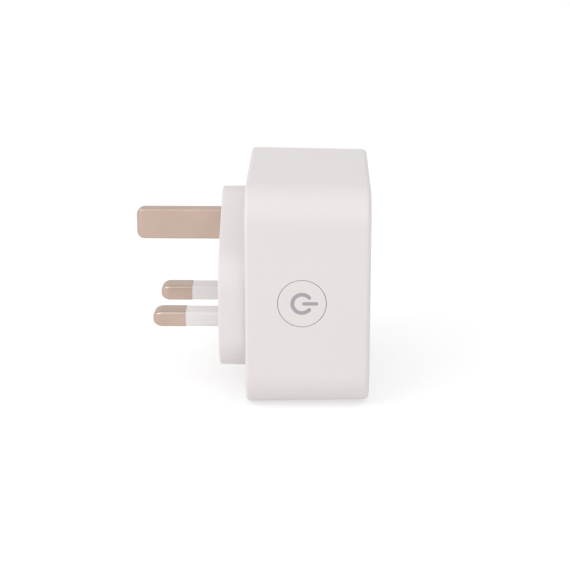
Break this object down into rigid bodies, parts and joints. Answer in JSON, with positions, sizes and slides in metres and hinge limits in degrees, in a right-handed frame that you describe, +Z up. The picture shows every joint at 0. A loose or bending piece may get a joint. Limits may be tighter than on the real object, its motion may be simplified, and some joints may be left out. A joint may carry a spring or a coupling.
{
  "type": "plug-in power meter socket adaptor",
  "caption": "Square plug-in socket adaptor with a switched, energy-metered outlet, a flat-pin plug behind, a shuttered socket in front and a round side button.",
  "frame": {"origin": "where the earth pin's axis meets the engagement face that lies on the wall plate", "axes": "+Z up with the earth pin on top, +Y along the pins into the wall, the socket faces -Y"},
  "size_m": [0.058, 0.0607, 0.0572],
  "materials": {
    "shell_white": "satin white moulded case",
    "button_white": "satin white button",
    "mark_grey": "grey power mark",
    "pin_metal": "bare pin metal, satin",
    "sleeve_white": "pale moulded sleeve",
    "contact_copper": "rolled copper alloy strip",
    "screw_steel": "zinc-plated screw",
    "spring_steel": "drawn spring wire",
    "carrier_nylon": "natural nylon",
    "shutter_nylon": "white nylon",
    "board_green": "solder mask",
    "chip_black": "epoxy package",
    "relay_black": "relay case",
    "film_yellow": "film capacitor box",
    "varistor_blue": "dipped varistor",
    "can_sleeve": "shrink sleeve",
    "tinned_copper": "tinned leads and links",
    "shunt_alloy": "resistance alloy strip",
    "ferrite": "ferrite core",
    "winding_enamel": "enamelled wire winding",
    "resistor_green": "coated fusible resistor",
    "shield_tin": "tinned shield can",
    "lamp_clear": "lamp lens",
    "guide_clear": "clear acrylic"
  },
  "bodies": {
    "case": {"board_header": "chip_black", "board_screws": "screw_steel", "bridge_rectifier": "chip_black", "bulk_capacitors": "can_sleeve", "case_screws": "screw_steel", "earth_contact": "contact_copper", "earth_pin": "pin_metal", "film_capacitor": "film_yellow", "front_cover": "shell_white", "fusible_resistor": "resistor_green", "inductor_core": "ferrite", "inductor_winding": "winding_enamel", "light_guide": "guide_clear", "live_contact": "contact_copper", "live_link": "tinned_copper", "live_pin": "pin_metal", "live_sleeve": "sleeve_white", "main_board": "board_green", "metering_chip": "chip_black", "neutral_contact": "contact_copper", "neutral_pin": "pin_metal", "neutral_sleeve": "sleeve_white", "output_capacitor": "can_sleeve", "radio_module": "board_green", "radio_shield": "shield_tin", "rear_base": "shell_white", "relay_case": "relay_black", "relay_legs": "tinned_copper", "shunt_resistor": "shunt_alloy", "shutter_spring": "spring_steel", "side_board": "board_green", "socket_carrier": "carrier_nylon", "status_lamps": "lamp_clear", "supply_chip": "chip_black", "switch_case": "chip_black", "varistor": "varistor_blue"},
    "button": {"power_button": "button_white", "button_mark": "mark_grey", "switch_plunger": "chip_black"},
    "shutter_slide": {"shutter": "shutter_nylon"}
  },
  "joints": [
    {"name": "button_press", "type": "slide", "parent": "case", "child": "button", "axis": [0.9999, 0.014, 0], "range_m": [0, 0.0005], "stiffness_N_per_m": 3000},
    {"name": "shutter_drop", "type": "slide", "parent": "case", "child": "shutter_slide", "axis": [0, 0, -1], "range_m": [0, 0.0062], "stiffness_N_per_m": 120, "springref_m": -0.004, "deforming": ["shutter_spring"]}
  ]
}
